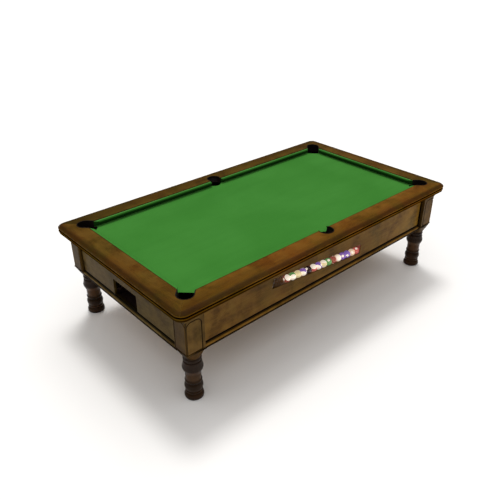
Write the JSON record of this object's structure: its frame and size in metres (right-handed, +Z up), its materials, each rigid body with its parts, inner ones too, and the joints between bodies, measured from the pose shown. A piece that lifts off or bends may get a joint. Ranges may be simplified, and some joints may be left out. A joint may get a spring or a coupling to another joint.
{
  "type": "pool table",
  "caption": "Six-pocket pool table with moulded wooden rails, green cloth bed, turned legs, a sloping ball display window and a ball return opening.",
  "frame": {"origin": "centre of the table's footprint, on the floor", "axes": "+X along the table's length, +Y across it away from the ball window, +Z up"},
  "size_m": [2.88, 1.586, 0.8022],
  "materials": {
    "rail_wood": "satin varnish, reddish brown",
    "cabinet_wood": "satin varnish, brown",
    "leg_wood": "satin varnish, dark brown",
    "frame_wood": "sawn",
    "slate": "honed",
    "cloth": "napped wool cloth",
    "cushion_rubber": "matt",
    "liner_rubber": "satin",
    "steel": "zinc plated",
    "brass": "satin",
    "pane": "clear acrylic",
    "trough_lining": "painted dark brown",
    "ball_solid": "polished resin",
    "ball_striped": "polished resin",
    "ball_black": "polished resin",
    "knob": "polished"
  },
  "bodies": {
    "table": {"ball_trough": "trough_lining", "base_mouldings_long": "cabinet_wood", "base_mouldings_short": "cabinet_wood", "bed_cloth": "cloth", "cabinet_floor": "frame_wood", "catch_tray": "trough_lining", "corner_post_back_left": "cabinet_wood", "corner_post_back_right": "cabinet_wood", "corner_post_front_left": "cabinet_wood", "corner_post_front_right": "cabinet_wood", "cross_beams": "frame_wood", "cross_gully": "trough_lining", "cushion_back_left": "cloth", "cushion_back_right": "cloth", "cushion_front_left": "cloth", "cushion_front_right": "cloth", "cushion_left": "cloth", "cushion_right": "cloth", "cushion_rubber_cores": "cushion_rubber", "gully_back": "trough_lining", "gully_front": "trough_lining", "leg_back_left": "leg_wood", "leg_back_right": "leg_wood", "leg_bolts": "steel", "leg_front_left": "leg_wood", "leg_front_right": "leg_wood", "panel_back": "cabinet_wood", "panel_front": "cabinet_wood", "panel_left": "cabinet_wood", "panel_right": "cabinet_wood", "pocket_liner_back_left": "liner_rubber", "pocket_liner_back_middle": "liner_rubber", "pocket_liner_back_right": "liner_rubber", "pocket_liner_front_left": "liner_rubber", "pocket_liner_front_middle": "liner_rubber", "pocket_liner_front_right": "liner_rubber", "rail_back": "rail_wood", "rail_bolts": "steel", "rail_front": "rail_wood", "rail_left": "rail_wood", "rail_right": "rail_wood", "return_runner": "trough_lining", "rod_bushes": "brass", "slate_bearers": "frame_wood", "slate_left": "slate", "slate_middle": "slate", "slate_right": "slate", "slate_screws": "steel", "window_pane": "pane"},
    "ball_row": {"solid_balls": "ball_solid", "striped_balls": "ball_striped", "black_ball": "ball_black"},
    "ball_release": {"release_gate": "steel", "release_rod": "steel", "release_knob": "knob"},
    "foot_front_left": {"levelling_foot_front_left": "steel"},
    "foot_front_right": {"levelling_foot_front_right": "steel"},
    "foot_back_left": {"levelling_foot_back_left": "steel"},
    "foot_back_right": {"levelling_foot_back_right": "steel"}
  },
  "joints": [
    {"name": "ball_row_roll", "type": "slide", "parent": "table", "child": "ball_row", "axis": [-0.9951, 0, 0.0991], "range_m": [0, 0.285]},
    {"name": "release_pull", "type": "slide", "parent": "table", "child": "ball_release", "axis": [0, 1, 0], "range_m": [0, 0.06]},
    {"name": "level_front_left", "type": "slide", "parent": "table", "child": "foot_front_left", "axis": [0, 0, -1], "range_m": [0, 0.022]},
    {"name": "level_front_right", "type": "slide", "parent": "table", "child": "foot_front_right", "axis": [0, 0, -1], "range_m": [0, 0.022]},
    {"name": "level_back_left", "type": "slide", "parent": "table", "child": "foot_back_left", "axis": [0, 0, -1], "range_m": [0, 0.022]},
    {"name": "level_back_right", "type": "slide", "parent": "table", "child": "foot_back_right", "axis": [0, 0, -1], "range_m": [0, 0.022]}
  ]
}
